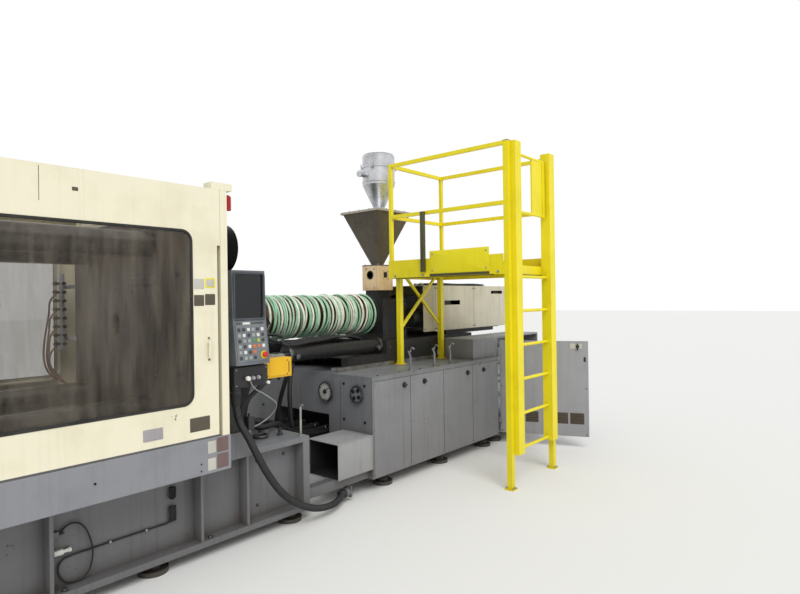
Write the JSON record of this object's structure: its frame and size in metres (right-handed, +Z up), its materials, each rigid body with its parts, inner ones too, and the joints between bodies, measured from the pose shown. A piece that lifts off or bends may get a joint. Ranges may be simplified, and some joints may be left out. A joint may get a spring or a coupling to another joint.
{
  "type": "injection moulding machine",
  "caption": "Horizontal injection moulding machine with sliding guard doors, tie-bar clamp, barrel with hopper and loader, swivel control panel, power cabinet and ladder platform.",
  "frame": {"origin": "on the floor, on the machine's centre-line, under the fixed platen's mould face", "axes": "+X along the machine towards the injection end, +Y away from the operator, +Z up"},
  "size_m": [9.69, 3.0333, 3.281],
  "materials": {
    "bed_grey": "worn semi-gloss paint",
    "panel_grey": "worn semi-gloss paint",
    "step_steel": "scuffed paint",
    "foot_black": "matt",
    "way_steel": "ground",
    "platen_cast": "oily, matt paint",
    "tie_steel": "polished, oily",
    "cylinder_paint": "matt paint",
    "guard_cream": "semi-gloss paint",
    "window_tint": "polished",
    "beacon_red": "gloss",
    "arm_black": "matt paint",
    "terminal_yellow": "semi-gloss paint",
    "contactor_grey": "matt",
    "tank_grey": "matt paint",
    "platform_yellow": "chipped semi-gloss paint",
    "hose_black": "matt",
    "cable_black": "matt",
    "latch_black": "matt",
    "rod_steel": "polished",
    "sled_black": "matt paint",
    "barrel_steel": "heat tinted",
    "nozzle_steel": "heat tinted",
    "band_steel": "heat tinted",
    "winding_hose": "satin",
    "throat_beige": "semi-gloss paint",
    "hopper_taupe": "dusty matt paint",
    "lid_steel": "dull",
    "loader_steel": "brushed",
    "cover_cream": "semi-gloss paint",
    "drive_dark": "matt paint",
    "motor_dark": "matt paint",
    "control_grey": "fine grain",
    "screen_dark": "gloss",
    "key_grey": "satin",
    "stop_red": "gloss",
    "door_grey": "semi-gloss paint"
  },
  "bodies": {
    "frame": {"clamp_base": "bed_grey", "injection_base": "bed_grey", "side_panels": "panel_grey", "levelling_feet": "foot_black", "step_box": "step_steel", "machine_ways": "way_steel", "stationary_platen": "platen_cast", "rear_platen": "platen_cast", "clamp_cylinder": "cylinder_paint", "tie_bars": "tie_steel", "guard_frame": "guard_cream", "guard_rail": "panel_grey", "fixed_guards": "guard_cream", "alarm_beacon": "beacon_red", "panel_arm": "arm_black", "terminal_box": "terminal_yellow", "power_cabinet": "panel_grey", "cabinet_backplate": "contactor_grey", "hydraulic_tank": "tank_grey", "platform_frame": "platform_yellow", "platform_deck": "platform_yellow", "guardrails": "platform_yellow", "ladder": "platform_yellow", "control_hose": "hose_black", "sensor_cable": "cable_black", "traverse_rods": "rod_steel"},
    "carriage": {"carriage": "sled_black", "feed_housing": "sled_black", "barrel": "barrel_steel", "nozzle": "nozzle_steel", "heater_bands": "band_steel", "barrel_windings": "winding_hose", "throat_block": "throat_beige", "hopper": "hopper_taupe", "hopper_lid": "lid_steel", "loader": "loader_steel", "injection_housing": "drive_dark", "injection_cover": "cover_cream", "traverse_cylinders": "sled_black"},
    "operator_door": {"operator_door": "guard_cream", "operator_window": "window_tint"},
    "rear_door": {"rear_door": "guard_cream", "rear_window": "window_tint"},
    "moving_platen": {"moving_platen": "platen_cast", "clamp_ram": "rod_steel"},
    "ejector": {"ejector": "way_steel"},
    "crosshead": {"crosshead": "motor_dark"},
    "screw": {"screw": "way_steel"},
    "slide_gate": {"slide_gate": "way_steel"},
    "control_panel": {"control_housing": "control_grey", "control_screen": "screen_dark", "keypad": "key_grey"},
    "emergency_stop": {"emergency_stop": "stop_red"},
    "swing_gate": {"swing_gate": "platform_yellow"},
    "cabinet_door": {"cabinet_door": "door_grey"},
    "cabinet_latch": {"cabinet_latch": "latch_black"},
    "panel_latch_1": {"panel_latch_1": "latch_black"},
    "panel_latch_2": {"panel_latch_2": "latch_black"},
    "panel_latch_3": {"panel_latch_3": "latch_black"},
    "panel_latch_4": {"panel_latch_4": "latch_black"}
  },
  "joints": [
    {"name": "operator_door_slide", "type": "slide", "parent": "frame", "child": "operator_door", "axis": [-1, 0, 0], "range_m": [0, 1.7]},
    {"name": "rear_door_slide", "type": "slide", "parent": "frame", "child": "rear_door", "axis": [-1, 0, 0], "range_m": [0, 1.7]},
    {"name": "clamp_stroke", "type": "slide", "parent": "frame", "child": "moving_platen", "axis": [1, 0, 0], "range_m": [-0.6, 0.5]},
    {"name": "ejector_stroke", "type": "slide", "parent": "moving_platen", "child": "ejector", "axis": [1, 0, 0], "range_m": [0, 0.14]},
    {"name": "carriage_stroke", "type": "slide", "parent": "frame", "child": "carriage", "axis": [1, 0, 0], "range_m": [0, 0.45]},
    {"name": "injection_stroke", "type": "slide", "parent": "carriage", "child": "crosshead", "axis": [1, 0, 0], "range_m": [0, 0.45]},
    {"name": "screw_spin", "type": "hinge", "parent": "crosshead", "child": "screw", "pos_m": [3.5, 0, 1.517], "axis": [1, 0, 0], "continuous": true},
    {"name": "gate_slide", "type": "slide", "parent": "carriage", "child": "slide_gate", "axis": [1, 0, 0], "range_m": [0, 0.1]},
    {"name": "panel_swivel", "type": "hinge", "parent": "frame", "child": "control_panel", "pos_m": [0.4375, -0.96, 1.25], "axis": [0, 0, 1], "range_deg": [-90, 10]},
    {"name": "stop_press", "type": "slide", "parent": "control_panel", "child": "emergency_stop", "axis": [0, 0.9915, -0.1299], "range_m": [0, 0.005], "stiffness_N_per_m": 800},
    {"name": "ladder_gate_swing", "type": "hinge", "parent": "frame", "child": "swing_gate", "pos_m": [2.718, -1.8343, 2.7], "axis": [0, 0, 1], "range_deg": [0, 90]},
    {"name": "cabinet_door_swing", "type": "hinge", "parent": "frame", "child": "cabinet_door", "pos_m": [3.885, -0.93, 0.65], "axis": [0, 0, 1], "range_deg": [-20, 68]},
    {"name": "cabinet_latch_turn", "type": "hinge", "parent": "cabinet_door", "child": "cabinet_latch", "pos_m": [4.20041, -1.7355, 1.12], "axis": [-0.9272, -0.3746, 0], "range_deg": [0, 90]},
    {"name": "panel_latch_1_turn", "type": "hinge", "parent": "frame", "child": "panel_latch_1", "pos_m": [2.17, -0.96, 0.885], "axis": [0, -1, 0], "range_deg": [0, 90]},
    {"name": "panel_latch_2_turn", "type": "hinge", "parent": "frame", "child": "panel_latch_2", "pos_m": [2.47, -0.96, 0.885], "axis": [0, -1, 0], "range_deg": [0, 90]},
    {"name": "panel_latch_3_turn", "type": "hinge", "parent": "frame", "child": "panel_latch_3", "pos_m": [3.21, -0.96, 0.885], "axis": [0, -1, 0], "range_deg": [0, 90]},
    {"name": "panel_latch_4_turn", "type": "hinge", "parent": "frame", "child": "panel_latch_4", "pos_m": [3.52, -0.96, 0.885], "axis": [0, -1, 0], "range_deg": [0, 90]}
  ]
}
